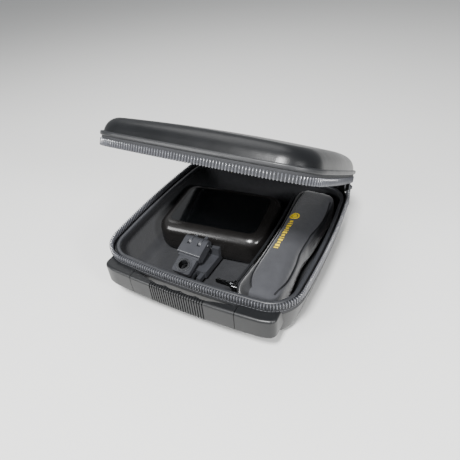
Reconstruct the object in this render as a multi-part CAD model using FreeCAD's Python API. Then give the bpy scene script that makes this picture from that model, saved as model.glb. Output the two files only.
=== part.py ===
"""Portable launch monitor kit: a radar launch monitor with a tilting tripod arm, lying in its
zip-up moulded foam carry case beside a neoprene accessory pouch.

Frame: millimetres, +Z up, -Y is the handle side, X runs along the handle. The origin is the
centre of the tray's flat underside. The lid is stored partly open.
"""

import FreeCAD
import Part

import math
import os

V = FreeCAD.Vector

# ---------------------------------------------------------------- driving dimensions

# case outline, along the zip
case_width = 200.0
case_depth = 200.0
side_bow_radius = 900.0
corner_radius = 31.0

# moulded foam shells, measured from the rim to the outside of the floor or roof
shell_wall = 3.6
tray_land = 6.0
tray_depth = 42.5
tray_draft = 7.5
tray_edge_radius = 14.0
lid_land = 3.5
lid_depth = 20.5
lid_draft = 4.5
lid_edge_radius = 14.0
lid_crown_radius = 1600.0
lining_thickness = 0.9

# zip
tape_inset = 0.6
tape_thickness = 1.0
tape_lap = 4.0
tray_band = 7.5
lid_band = 8.2
chain_height = 6.0
chain_thickness = 3.0
parting_gap = 0.25
chain_end_y = 84.0
back_tape_y = 92.0
piping_height = 3.6
piping_proud = 1.5
binding_inset = 5.2
binding_width = 4.0
binding_height = 3.2
hinge_half_width = 68.0
hinge_strip_thickness = 0.8
hinge_clearance = 0.5

# lid position
lid_open_deg = 29.2

# zip sliders and pulls
slider_length = 10.0
slider_plate = 1.4
slider_clearance = 0.6
slider_height = 14.0
slider_turn_deg = 45.0
bar_radius = 0.9
bar_standoff = 2.0
pull_length = 25.0
pull_width = 5.2
pull_thickness = 1.8
pull_running_gap = 0.08

# handle
handle_half_length = 85.0
handle_proud = 10.0
handle_bottom_z = 20.5
handle_top_z = 42.0
grip_half_length = 51.3
grip_thickness = 5.4
grip_end_thickness = 8.6
grip_seam_gap = 0.5
grip_rib_pitch = 2.5
grip_rib_count = 22
grip_rib_shift = -3.0
grip_groove_width = 1.1
grip_groove_depth = 1.0
grip_finger_count = 4
grip_finger_pitch = 15.0
grip_finger_depth = 1.3
handle_travel = 4.5
tongue_thickness = 2.2
tongue_height = 13.0
tongue_length = 9.0
tongue_clearance = 0.5
bracket_skin = 1.5
rivet_radius = 1.9
rivet_head_radius = 3.4
rivet_head_height = 1.6
rivet_spacing = 10.4
rivet_x = 66.0

# monitor body
monitor_width = 119.0
monitor_depth = 88.0
monitor_height = 34.0
monitor_corner_radius = 18.0
monitor_top_radius = 11.0
monitor_bottom_radius = 10.0
monitor_wall = 2.2
monitor_split_z = 15.0
seal_thickness = 0.6
monitor_x = -25.0
monitor_y = 16.5
monitor_yaw_deg = 6.0
loose_gap = 0.3

# monitor face and insides
window_border = 12.0
window_width = monitor_width - 2 * window_border
window_depth = monitor_depth - 2 * window_border
window_corner_radius = 8.0
window_thickness = 1.2
window_ledge = 4.0
window_clearance = 0.15
boss_inset = 12.0
boss_x = monitor_width / 2 - boss_inset
boss_y = monitor_depth / 2 - boss_inset
boss_radius = 3.5
screw_radius = 1.25
screw_head_radius = 2.4
screw_head_height = 1.6
board_thickness = 1.6
board_end_margin = 7.5
board_side_margin = 5.0
main_board_width = monitor_width - 2 * board_end_margin
main_board_depth = monitor_depth - 2 * board_side_margin
main_board_z = 15.8
battery_size = (72.0, 50.0, 8.5)
antenna_board_size = (36.0, 54.0)
antenna_board_z = 26.4
patch_size = 9.0
patch_columns = 2
patch_rows = 3
patch_thickness = 0.5
display_size = (38.0, 54.0, 3.0)
panel_gap = 1.4

# monitor controls, on the edge that is uppermost in use
button_x = -14.0
button_radius = 3.4
button_proud = 1.3
button_travel = 0.8
button_flange = 1.0
button_clearance = 0.2
port_x = 18.0
port_width = 9.4
port_height = 3.6
cover_width = 15.0
cover_height = 8.0
cover_thickness = 1.8
control_z = 20.2

# tripod arm
arm_x = -5.0
arm_yaw_deg = -8.0
arm_width = 26.0
arm_thickness = 10.5
arm_reach = 17.0
arm_slope_deg = 19.0
arm_pivot_out = 7.4
arm_pivot_z = 27.0
pin_radius = 2.0
pin_running_gap = 0.05
lug_offset = 5.6
lug_thickness = 3.0
lug_radius = 5.6
knuckle_gap = 0.35
bracket_width = 28.0
bracket_plate = 1.8
bracket_low_z = 3.5
bracket_high_z = 20.5
bracket_screw_z = 17.6
foot_offset = 12.0
foot_width = 16.0
foot_length = 28.0
foot_thickness = 7.5
prong_length = 8.0
prong_width = 4.4
prong_spacing = 9.0
tongue_plate_width = 20.0
tongue_plate_thickness = 4.6
tongue_tip = 36.0
tongue_root = 4.0
tongue_out = 6.0
thread_radius = 4.76
thread_length = 8.0
thread_centre = 28.0
bush_wall = 2.2
slot_clearance = 0.0

# accessory pouch
pouch_left = 38.5
pouch_right = 84.0
pouch_front = -85.5
pouch_back = 82.0
pouch_height = 41.0
pouch_waist = 3.5
pouch_end_radius = 13.0
pouch_edge_radius = 10.0
pouch_zip_height = 3.0
pouch_zip_width = 1.4
pouch_zip_z = 38.5
pouch_slider_in = 7.0
pouch_pull_length = 15.0
pouch_pull_width = 5.0
pouch_pull_thickness = 1.4

# ---------------------------------------------------------------- worked-out sizes

half_x = case_width / 2
half_y = case_depth / 2
parting_z = tray_depth + tray_band
shell_inset = tape_inset + tape_thickness
liner_inset = shell_inset + shell_wall
cavity_inset = liner_inset + lining_thickness
floor_z = shell_wall + lining_thickness
hinge_y = half_y + hinge_strip_thickness + hinge_clearance
hinge_z = parting_z
monitor_z = floor_z + loose_gap
handle_mid_z = (handle_bottom_z + handle_top_z) / 2


# ---------------------------------------------------------------- shared helpers


def corner_centre():
    """Centre of the arc that is tangent inside a side arc and an end arc."""
    ax = half_x - side_bow_radius
    by = half_y - side_bow_radius
    reach = side_bow_radius - corner_radius
    span = math.hypot(ax, by)
    rise = math.sqrt(reach**2 - (span / 2) ** 2)
    return V(ax / 2 - rise * by / span, by / 2 - rise * ax / span, 0)


def outline(inset, z=0.0):
    """The case's bowed, round-cornered outline as a closed wire, set in by inset at height z."""
    centre = corner_centre()
    side = V(half_x - side_bow_radius, 0, 0)
    end = V(0, half_y - side_bow_radius, 0)
    on_side = side + (centre - side).normalize() * (side_bow_radius - inset)
    on_end = end + (centre - end).normalize() * (side_bow_radius - inset)
    middle = (on_side - centre).normalize() + (on_end - centre).normalize()
    at_corner = centre + middle.normalize() * (corner_radius - inset)
    edges = []

    def arc(a, b, c):
        lift = V(0, 0, z)
        edges.append(Part.Arc(a + lift, b + lift, c + lift).toShape())

    def flip(p, sx, sy):
        return V(p.x * sx, p.y * sy, 0)

    arc(flip(on_side, 1, -1), V(half_x - inset, 0, 0), on_side)
    arc(on_side, at_corner, on_end)
    arc(on_end, V(0, half_y - inset, 0), flip(on_end, -1, 1))
    arc(flip(on_end, -1, 1), flip(at_corner, -1, 1), flip(on_side, -1, 1))
    arc(flip(on_side, -1, 1), V(inset - half_x, 0, 0), flip(on_side, -1, -1))
    arc(flip(on_side, -1, -1), flip(at_corner, -1, -1), flip(on_end, -1, -1))
    arc(flip(on_end, -1, -1), V(0, inset - half_y, 0), flip(on_end, 1, -1))
    arc(flip(on_end, 1, -1), flip(at_corner, 1, -1), flip(on_side, 1, -1))
    return Part.Wire(edges)


def slab(inset, z_low, z_high):
    """A solid of the case outline between two heights."""
    return Part.Face(outline(inset, z_low)).extrude(V(0, 0, z_high - z_low))


def ring(outer_inset, inner_inset, z_low, z_high):
    """A vertical band of the case outline, from outer_inset to inner_inset."""
    return slab(outer_inset, z_low, z_high).cut(slab(inner_inset, z_low, z_high))


def box(x, y, z):
    """A box from three (low, high) pairs."""
    return Part.makeBox(x[1] - x[0], y[1] - y[0], z[1] - z[0], V(x[0], y[0], z[0]))


def centred_box(width, depth, z, x=0.0, y=0.0):
    """A box centred on x and y, between the two heights in z."""
    return box((x - width / 2, x + width / 2), (y - depth / 2, y + depth / 2), z)


def rounded_box(width, depth, z, radius, x=0.0, y=0.0):
    """A centred box with its upright edges rounded."""
    solid = centred_box(width, depth, z, x, y)
    upright = [e for e in solid.Edges if is_upright(e)]
    return solid.makeFillet(radius, upright)


def is_upright(edge):
    """True for a straight edge along Z."""
    a, b = edge.Vertexes[0].Point, edge.Vertexes[-1].Point
    return abs(a.x - b.x) < 1e-6 and abs(a.y - b.y) < 1e-6


def edges_at(solid, z):
    """The edges of a solid that lie at height z."""
    return [
        e
        for e in solid.Edges
        if abs(e.BoundBox.ZMin - z) < 1e-4 and abs(e.BoundBox.ZMax - z) < 1e-4
    ]


def cylinder(radius, start, end):
    """A cylinder between two points."""
    return Part.makeCylinder(radius, (end - start).Length, start, end - start)


def export(name, shape):
    """Writes one node, checked to be made of closed, valid solids."""
    shape = Part.makeCompound(shape.Solids) if len(shape.Solids) > 1 else shape.Solids[0]
    if not shape.isValid() or shape.Volume <= 0:
        raise ValueError(f"{name} isn't a valid solid")
    shape.exportStep(os.path.join("parts", name + ".step"))
    box_ = shape.BoundBox
    print(f"{name}: {len(shape.Solids)} solids, {len(shape.Faces)} faces, {shape.Volume:.0f} mm3,",
          f"z {box_.ZMin:.1f} to {box_.ZMax:.1f}")


# ---------------------------------------------------------------- case shells


def half_form(depth, draft, edge_radius, land, inset, crown_radius=None):
    """The solid of a case half, mouth at z = 0 and floor or roof at z = depth, set in by inset."""
    draft_end = depth - inset + shell_inset
    upright = slab(inset, 0, land)
    low = outline(inset, land)
    high = outline(inset + draft, draft_end)
    form = upright.fuse(Part.makeLoft([low, high], True, True)).removeSplitter()
    if crown_radius:
        ball_radius = crown_radius - inset + shell_inset
        ball = Part.makeSphere(ball_radius)
        ball.rotate(V(0, 0, 0), V(0, 1, 0), 90)
        form = form.common(moved(ball, V(0, 0, draft_end - ball_radius)))
        rim = [e for e in form.Edges if e.BoundBox.ZMin > land + 1]
        brim = [e for e in rim if e.BoundBox.ZMax - e.BoundBox.ZMin < draft_end / 2]
        return form.makeFillet(edge_radius - inset + shell_inset, brim)
    return form.makeFillet(edge_radius - inset + shell_inset, edges_at(form, draft_end))


def hollow(depth, draft, edge_radius, land, outer_inset, inner_inset, crown_radius=None):
    """A case half's wall between two insets, open at z = 0."""
    outer = half_form(depth, draft, edge_radius, land, outer_inset, crown_radius)
    inner = half_form(depth, draft, edge_radius, land, inner_inset, crown_radius)
    return outer.cut(inner)


def place_tray(shape):
    """From the rim-down form to the tray: mouth up, at the tray's rim height."""
    placed = shape.copy()
    placed.rotate(V(0, 0, 0), V(1, 0, 0), 180)
    placed.translate(V(0, 0, tray_depth))
    return placed


def place_lid(shape):
    """From the form to the closed lid, then swung open about the hinge line."""
    placed = shape.copy()
    placed.translate(V(0, 0, parting_z + lid_band))
    return swing_lid(placed)


def swing_lid(shape):
    """Swings a piece of the closed lid to the stored opening."""
    placed = shape.copy()
    placed.rotate(V(0, hinge_y, hinge_z), V(-1, 0, 0), lid_open_deg)
    return placed


def zip_part(solid, end_y=chain_end_y):
    """Leaves only the length of a ring that the zip runs along."""
    reach = case_width
    return solid.common(box((-reach, reach), (-reach, end_y), (-reach, reach)))


def hinge_part(solid):
    """Leaves only the length of a ring that the fabric hinge covers."""
    reach = case_width
    return solid.common(box((-hinge_half_width, hinge_half_width), (0, reach), (-reach, reach)))


def zip_half(band):
    """Tape and chain of one side of the zip: mouth of the shell at z = 0, parting plane at z = band."""
    tape_top = band - parting_gap - chain_height
    tape = ring(tape_inset, shell_inset, -tape_lap, tape_top)
    back = ring(tape_inset, shell_inset, tape_top - 0.5, band - parting_gap)
    back = back.common(box((-case_width, case_width), (back_tape_y, case_depth), (-band, band)))
    tape = tape.fuse(back).removeSplitter()
    middle = tape_inset + tape_thickness / 2
    chain = ring(middle - chain_thickness / 2, middle + chain_thickness / 2, tape_top, band - parting_gap)
    return tape, zip_part(chain)


def piping(band_low):
    """The round-faced bead that covers the tape's stitched edge."""
    bead = ring(tape_inset - piping_proud, tape_inset, band_low, band_low + piping_height)
    within = Part.Face(outline(tape_inset - piping_proud / 2))
    rims = [e for z in (band_low, band_low + piping_height) for e in edges_at(bead, z)]
    outer = [e for e in rims if not within.isInside(flat_middle(e), 1e-3, True)]
    return bead.makeFillet(piping_proud * 0.8, outer)


def flat_middle(edge):
    """An edge's middle point, brought down to z = 0."""
    mid = edge.valueAt((edge.FirstParameter + edge.LastParameter) / 2)
    return V(mid.x, mid.y, 0)


def furthest(edge):
    """How far out an outline edge lies, measured as the half size of the outline it belongs to."""
    mid = edge.valueAt((edge.FirstParameter + edge.LastParameter) / 2)
    centre = corner_centre()
    if abs(mid.x) > centre.x and abs(mid.y) > centre.y:
        reach = V(abs(mid.x), abs(mid.y), 0).distanceToPoint(centre)
        return reach - corner_radius + half_x
    return max(abs(mid.x), abs(mid.y))


def binding():
    """The rolled fabric bead along the inner edge of a rim."""
    bead = ring(binding_inset, binding_inset + binding_width, 0, binding_height)
    return bead.makeFillet(binding_width * 0.4, edges_at(bead, binding_height))


def make_tray():
    form = (tray_depth, tray_draft, tray_edge_radius, tray_land)
    shell = place_tray(hollow(*form, shell_inset, liner_inset))
    lining = place_tray(hollow(*form, liner_inset, cavity_inset))
    tape, chain = zip_half(tray_band)
    lift = V(0, 0, tray_depth)
    strip = ring(tape_inset - hinge_strip_thickness, tape_inset, -tape_lap, tray_band - parting_gap)
    return {
        "tray_shell": shell,
        "tray_lining": lining,
        "tray_zip_tape": moved(tape, lift),
        "tray_zip_chain": moved(chain, lift),
        "tray_inner_binding": moved(binding(), lift),
        "tray_hinge_fabric": moved(hinge_part(strip), lift),
    }


def make_lid():
    form = (lid_depth, lid_draft, lid_edge_radius, lid_land)
    shell = hollow(*form, shell_inset, liner_inset, lid_crown_radius)
    lining = hollow(*form, liner_inset, cavity_inset, lid_crown_radius)
    tape, chain = zip_half(lid_band)
    strip = ring(tape_inset - hinge_strip_thickness, tape_inset, -lid_band + parting_gap, 0)
    flat = {
        "lid_shell": shell,
        "lid_lining": lining,
        "lid_zip_tape": upside_down(tape),
        "lid_zip_chain": upside_down(chain),
        "lid_piping": piping(0.4),
        "lid_inner_binding": upside_down(binding()),
        "lid_hinge_fabric": hinge_part(strip),
    }
    return {name: place_lid(shape) for name, shape in flat.items()}


def moved(shape, by):
    placed = shape.copy()
    placed.translate(by)
    return placed


def upside_down(shape):
    """Mirrors a piece in the rim plane, for the lid's side of the zip."""
    return shape.mirror(V(0, 0, 0), V(0, 0, 1))


# ---------------------------------------------------------------- zip sliders


def slider_frame():
    """Where the right-hand slider sits: a point on the chain, its outward and its running direction."""
    turn = math.radians(slider_turn_deg)
    outward = V(math.cos(turn), math.sin(turn), 0)
    middle = tape_inset + tape_thickness / 2
    return corner_centre() + outward * (corner_radius - middle), outward


def upright_from(local, at, outward):
    """Moves a piece from its own frame (X outward, Y along the zip, Z up) to the slider's place."""
    placed = local.copy()
    turn = math.degrees(math.atan2(outward.y, outward.x))
    placed.rotate(V(0, 0, 0), V(0, 0, 1), turn)
    placed.translate(at)
    return placed


def slider_body():
    """Two plates with a divider between them, and the bar that the pull swings on."""
    half_gap = chain_thickness / 2 + slider_clearance
    half_length = slider_length / 2
    low, high = -slider_height / 2, slider_height / 2
    outer = box((half_gap, half_gap + slider_plate), (-half_length, half_length), (low, high))
    inner = box((-half_gap - slider_plate, -half_gap), (-half_length, half_length), (low, high))
    outer = outer.makeFillet(2.4, [e for e in outer.Edges if is_outward(e)])
    divider = cylinder(1.4, V(-half_gap - 0.2, half_length - 2, 0), V(half_gap + 0.2, half_length - 2, 0))
    bar_x = half_gap + slider_plate + bar_standoff
    foot_y = 3.4
    bar = cylinder(bar_radius, V(bar_x, -foot_y, 0), V(bar_x, foot_y, 0))
    body = outer.fuse([inner, divider, bar])
    for side in (-1, 1):
        foot = box(
            (half_gap + slider_plate / 2, bar_x + bar_radius),
            sorted((side * foot_y, side * (foot_y + 1.4))),
            (-1.6, 1.6),
        )
        body = body.fuse(foot)
    return body.removeSplitter(), bar_x


def is_outward(edge):
    """True for a straight edge along X, which is outward in the slider's own frame."""
    a, b = edge.Vertexes[0].Point, edge.Vertexes[-1].Point
    return abs(a.z - b.z) < 1e-6 and abs(a.y - b.y) < 1e-6


def pull_tab(bar_x):
    """A flat tab that hangs from the slider's bar by its eye."""
    eye = bar_radius + pull_running_gap
    half = pull_thickness / 2
    tab = box((-half, half), (-pull_width / 2, pull_width / 2), (2 - pull_length, 0))
    tab = tab.makeFillet(1.6, [e for e in tab.Edges if is_outward(e) and e.BoundBox.ZMax < -5])
    collar = cylinder(eye + 0.9, V(0, -pull_width / 2, 0), V(0, pull_width / 2, 0))
    hole = cylinder(eye, V(0, -pull_width, 0), V(0, pull_width, 0))
    grip = box((-half - 0.6, half + 0.6), (-pull_width / 2 - 0.4, pull_width / 2 + 0.4),
               (1 - pull_length, 7 - pull_length))
    grip = grip.makeFillet(0.6, grip.Edges)
    return moved(tab.fuse([collar, grip]).cut(hole).removeSplitter(), V(bar_x, 0, 0))


def make_sliders():
    at, outward = slider_frame()
    at = V(at.x, at.y, parting_z)
    body, bar_x = slider_body()
    pull = pull_tab(bar_x)
    parts = {}
    for name, local in (("zip_slider", body), ("zip_pull", pull)):
        placed = upright_from(local, at, outward)
        parts[f"{name}_right"] = placed
        parts[f"{name}_left"] = placed.mirror(V(0, 0, 0), V(1, 0, 0))
    return parts


# ---------------------------------------------------------------- handle


def tray_outside():
    """The space that the tray's outer skin fills, for fitting pieces against its wall."""
    form = place_tray(half_form(tray_depth, tray_draft, tray_edge_radius, tray_land, shell_inset))
    return form.fuse(slab(tape_inset, tray_depth - tape_lap, parting_z))


def handle_zone(x_low, x_high):
    """A length of the handle's own outer envelope, from inside the wall out to its face."""
    envelope = slab(-handle_proud, handle_bottom_z, handle_top_z)
    return envelope.common(box((x_low, x_high), (-case_depth, -half_y / 2), (0, parting_z)))


def handle_bracket():
    """The right-hand end bracket, hollow on the inner side for the grip's tongue."""
    block = handle_zone(grip_half_length + grip_seam_gap, handle_half_length)
    end = [e for e in block.Edges if is_upright(e) and e.BoundBox.XMin > handle_half_length - 0.01]
    end = [e for e in end if e.BoundBox.YMin < -half_y + corner_radius / 2]
    block = block.makeFillet(7.0, end)
    rim = [e for e in block.Edges if is_flat_rim(e)]
    block = block.makeFillet(2.4, rim)
    block = block.cut(tray_outside())
    pocket_high_y = tongue_rest_y() + tongue_thickness / 2 + tongue_clearance
    pocket_low_y = pocket_high_y - tongue_thickness - handle_travel - 2 * tongue_clearance
    pocket = box(
        (grip_half_length - 1, grip_half_length + tongue_length + 2 * tongue_clearance),
        (pocket_low_y, pocket_high_y),
        (handle_mid_z - tongue_height / 2 - tongue_clearance, handle_mid_z + tongue_height / 2 + tongue_clearance),
    )
    return block.cut(pocket)


def is_flat_rim(edge):
    """True for an outer edge along a handle piece's top or bottom."""
    b = edge.BoundBox
    level = b.ZMax - b.ZMin < 1e-4
    mid = edge.valueAt((edge.FirstParameter + edge.LastParameter) / 2)
    return level and furthest(edge) > half_y + 1.0 and mid.x > grip_half_length + 1


def tongue_rest_y():
    """The middle plane of the grip's end tongues, just clear of the tray's wall."""
    wall_y = wall_y_at(grip_half_length - 4, -shell_inset)
    return wall_y - 0.5 - tongue_clearance - tongue_thickness / 2


def wall_y_at(x, offset):
    """Y of the handle side's bowed wall at x, moved outward by offset."""
    radius = side_bow_radius + offset
    return half_y * -1 + side_bow_radius - math.sqrt(radius**2 - x**2)


def handle_grip():
    """The ribbed grip: a bowed bar with finger waves inside, ribs outside and a tongue at each end."""
    end_x = grip_half_length
    wave_x = grip_finger_count * grip_finger_pitch / 2
    inner_y = wall_y_at(wave_x, handle_proud - grip_thickness)
    end_y = wall_y_at(end_x, handle_proud - grip_end_thickness)
    outer_y = wall_y_at(end_x, handle_proud)
    middle_y = -half_y - handle_proud
    edges = [
        Part.Arc(V(-end_x, outer_y, 0), V(0, middle_y, 0), V(end_x, outer_y, 0)).toShape(),
        Part.LineSegment(V(end_x, outer_y, 0), V(end_x, end_y, 0)).toShape(),
        Part.LineSegment(V(end_x, end_y, 0), V(wave_x, inner_y, 0)).toShape(),
    ]
    for step in range(grip_finger_count):
        x_a = wave_x - step * grip_finger_pitch
        x_b = x_a - grip_finger_pitch
        x_m = (x_a + x_b) / 2
        offset = handle_proud - grip_thickness
        a = V(x_a, wall_y_at(x_a, offset), 0)
        b = V(x_b, wall_y_at(x_b, offset), 0)
        m = V(x_m, wall_y_at(x_m, offset) - grip_finger_depth, 0)
        edges.append(Part.Arc(a, m, b).toShape())
    edges.append(Part.LineSegment(V(-wave_x, inner_y, 0), V(-end_x, end_y, 0)).toShape())
    edges.append(Part.LineSegment(V(-end_x, end_y, 0), V(-end_x, outer_y, 0)).toShape())
    face = Part.Face(Part.Wire(edges))
    bar = moved(face.extrude(V(0, 0, handle_top_z - handle_bottom_z)), V(0, 0, handle_bottom_z))
    outer = [e for e in bar.Edges if e.BoundBox.YMin < middle_y + 1e-3 and e.BoundBox.XLength > end_x]
    bar = bar.makeFillet(2.4, outer)
    for step in range(grip_rib_count):
        x = (step - (grip_rib_count - 1) / 2) * grip_rib_pitch + grip_rib_shift
        y_face = wall_y_at(x, handle_proud)
        cutter = box((x - grip_groove_width / 2, x + grip_groove_width / 2),
                     (y_face - 5, y_face + grip_thickness * 0.7), (0, parting_z))
        core = box((x - grip_groove_width, x + grip_groove_width),
                   (y_face + grip_groove_depth, y_face + grip_thickness * 2),
                   (handle_bottom_z + grip_groove_depth, handle_top_z - grip_groove_depth))
        bar = bar.cut(cutter.cut(core))
    tongues = [
        box(sorted((side * (end_x - 4), side * (end_x + tongue_length))),
            (tongue_rest_y() - tongue_thickness / 2, tongue_rest_y() + tongue_thickness / 2),
            (handle_mid_z - tongue_height / 2, handle_mid_z + tongue_height / 2))
        for side in (-1, 1)
    ]
    return bar.fuse(tongues)


def make_handle(parts):
    bracket = handle_bracket()
    mirrored = bracket.mirror(V(0, 0, 0), V(1, 0, 0))
    rivets = [
        wall_rivet(side * rivet_x, handle_mid_z + step * rivet_spacing)
        for side in (-1, 1)
        for step in (-0.5, 0.5)
    ]
    holes = Part.makeCompound(rivets)
    parts["tray_shell"] = parts["tray_shell"].cut(holes)
    parts["tray_lining"] = parts["tray_lining"].cut(holes)
    return {
        "handle_bracket_right": bracket.cut(holes),
        "handle_bracket_left": mirrored.cut(holes),
        "handle_grip": handle_grip(),
        "handle_rivets": holes,
    }


def wall_rivet(x, z):
    """A rivet through the handle side's wall, its head against the lining."""
    wall = corner_wall_y(abs(x), z)
    inside = wall + shell_wall + lining_thickness - 0.3
    shank = cylinder(rivet_radius, V(x, wall - 4.0, z), V(x, inside + 0.2, z))
    head = cylinder(rivet_head_radius, V(x, inside, z), V(x, inside + rivet_head_height, z))
    return shank.fuse(head).removeSplitter()


def corner_wall_y(x, z):
    """Y of the tray wall's outer face at x and z on the handle side."""
    drop = tray_depth - tray_land - z
    lean = tray_draft * drop / (tray_depth - tray_land)
    inset = shell_inset + lean
    centre = corner_centre()
    if x > centre.x:
        return -centre.y - math.sqrt((corner_radius - inset) ** 2 - (x - centre.x) ** 2)
    return wall_y_at(x, -inset)


# ---------------------------------------------------------------- launch monitor


def place_monitor(shape):
    """From the monitor's own frame (centre of its back, face up) to its place in the tray."""
    placed = shape.copy()
    placed.rotate(V(0, 0, 0), V(0, 0, 1), monitor_yaw_deg)
    placed.translate(V(monitor_x, monitor_y, monitor_z))
    return placed


def monitor_form(inset):
    """The monitor's rounded body, set in by inset on every side."""
    top = monitor_height - inset
    body = rounded_box(monitor_width - 2 * inset, monitor_depth - 2 * inset, (inset, top),
                       monitor_corner_radius - inset)
    body = body.makeFillet(monitor_bottom_radius - inset, edges_at(body, inset))
    return body.makeFillet(monitor_top_radius - inset, edges_at(body, top))


def at_bosses(make):
    """Four copies of a piece, one at each screw boss."""
    return [make(sx * boss_x, sy * boss_y) for sx in (-1, 1) for sy in (-1, 1)]


def make_monitor_case():
    outer = monitor_form(0)
    inner = monitor_form(monitor_wall)
    reach = monitor_width
    below = box((-reach, reach), (-reach, reach), (-1, monitor_split_z))
    above = box((-reach, reach), (-reach, reach), (monitor_split_z + seal_thickness, reach))
    between = box((-reach, reach), (-reach, reach), (monitor_split_z, monitor_split_z + seal_thickness))

    rear = outer.cut(inner).common(below)
    posts = at_bosses(lambda x, y: cylinder(boss_radius, V(x, y, monitor_wall / 2), V(x, y, main_board_z)))
    rear = rear.fuse(posts)
    head_top = screw_head_height + 0.4
    for x in (-boss_x, boss_x):
        for y in (-boss_y, boss_y):
            rear = rear.cut(cylinder(screw_radius + 0.15, V(x, y, -1), V(x, y, main_board_z + 1)))
            rear = rear.cut(cylinder(screw_head_radius + 0.2, V(x, y, -1), V(x, y, head_top)))

    front = outer.cut(inner).common(above)
    low = main_board_z + board_thickness
    posts = at_bosses(lambda x, y: cylinder(boss_radius, V(x, y, low), V(x, y, monitor_height - monitor_wall / 2)))
    front = front.fuse(posts)
    for x in (-boss_x, boss_x):
        for y in (-boss_y, boss_y):
            front = front.cut(cylinder(screw_radius + 0.05, V(x, y, low - 1), V(x, y, low + 9)))
    recess_z = monitor_height - window_thickness
    front = front.cut(rounded_box(window_width, window_depth, (recess_z, monitor_height + 1), window_corner_radius))
    front = front.cut(rounded_box(window_width - 2 * window_ledge, window_depth - 2 * window_ledge,
                                  (monitor_height - 2 * monitor_wall, monitor_height + 1),
                                  window_corner_radius - window_ledge))
    wall_y = monitor_depth / 2
    button_hole = cylinder(button_radius + button_clearance, V(button_x, wall_y - 5, control_z),
                           V(button_x, wall_y + 5, control_z))
    port_z = (control_z - port_height / 2, control_z + port_height / 2)
    port_hole = centred_box(port_width, 10, port_z, port_x, wall_y)
    front = front.cut(button_hole).cut(port_hole)

    shrink = 2 * (monitor_wall * 0.25)
    seal_outer = rounded_box(monitor_width - shrink, monitor_depth - shrink,
                             (monitor_split_z, monitor_split_z + seal_thickness),
                             monitor_corner_radius - shrink / 2)
    seal = seal_outer.common(between).cut(inner)
    gap = 2 * window_clearance
    window = rounded_box(window_width - gap, window_depth - gap, (recess_z, monitor_height),
                         window_corner_radius - window_clearance)
    return {
        "monitor_rear_case": rear,
        "monitor_front_case": front,
        "monitor_seal": seal,
        "face_window": window,
    }


def case_screw(x, y):
    """A pan-head screw from the monitor's back, through the board, into the front case."""
    low, high = 0.2, 0.2 + screw_head_height
    head = cylinder(screw_head_radius, V(x, y, low), V(x, y, high))
    shank = cylinder(screw_radius, V(x, y, high - 0.2), V(x, y, main_board_z + board_thickness + 8))
    return head.fuse(shank).removeSplitter()


def make_monitor_insides():
    top = main_board_z + board_thickness
    board = rounded_box(main_board_width, main_board_depth, (main_board_z, top), 12)
    for x in (-boss_x, boss_x):
        for y in (-boss_y, boss_y):
            board = board.cut(cylinder(screw_radius + 0.2, V(x, y, main_board_z - 1), V(x, y, top + 1)))
    battery_w, battery_d, battery_h = battery_size
    battery = rounded_box(battery_w, battery_d, (monitor_wall + 0.2, monitor_wall + 0.2 + battery_h), 4)
    battery = battery.makeFillet(1.5, edges_at(battery, monitor_wall + 0.2 + battery_h))

    antenna_w, antenna_d = antenna_board_size
    antenna_x = -panel_gap / 2 - antenna_w / 2
    antenna_top = antenna_board_z + board_thickness
    antenna = centred_box(antenna_w, antenna_d, (antenna_board_z, antenna_top), antenna_x)
    pitch_x = antenna_w / patch_columns
    pitch_y = antenna_d / patch_rows
    patches = [
        centred_box(patch_size, patch_size, (antenna_top, antenna_top + patch_thickness),
                    antenna_x + (i - (patch_columns - 1) / 2) * pitch_x, (j - (patch_rows - 1) / 2) * pitch_y)
        for i in range(patch_columns)
        for j in range(patch_rows)
    ]
    posts = [
        cylinder(1.6, V(antenna_x + sx * (antenna_w / 2 - 3), sy * (antenna_d / 2 - 3), top),
                 V(antenna_x + sx * (antenna_w / 2 - 3), sy * (antenna_d / 2 - 3), antenna_board_z))
        for sx in (-1, 1)
        for sy in (-1, 1)
    ]
    display_w, display_d, display_h = display_size
    display_x = panel_gap / 2 + display_w / 2
    display_top = monitor_height - monitor_wall - 0.3
    display = centred_box(display_w, display_d, (display_top - display_h, display_top), display_x)
    frame = centred_box(display_w, display_d, (top, display_top - display_h), display_x).cut(
        centred_box(display_w - 5, display_d - 5, (top - 1, display_top), display_x))
    shield = centred_box(24, 20, (top, top + 2.4), antenna_x)
    shield = shield.makeFillet(0.6, edges_at(shield, top + 2.4))

    inner_wall = monitor_depth / 2 - monitor_wall
    flange_y = inner_wall - 0.3
    back_of_button = flange_y - button_flange
    switch_front = back_of_button - button_travel - 0.1
    switch = centred_box(6.2, 3.6, (top, control_z + 1.4), button_x, switch_front - 1.8)
    socket = centred_box(port_width - 0.6, 7, (top, control_z + port_height / 2 - 0.4), port_x, inner_wall - 4.2)
    screws = at_bosses(case_screw)
    return {
        "main_board": board,
        "battery_pack": battery,
        "antenna_board": antenna,
        "antenna_patches": Part.makeCompound(patches),
        "board_standoffs": Part.makeCompound(posts),
        "display_module": display,
        "display_frame": frame,
        "shield_can": shield,
        "power_switch": switch,
        "charging_socket": socket,
        "case_screws": Part.makeCompound(screws),
    }


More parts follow.
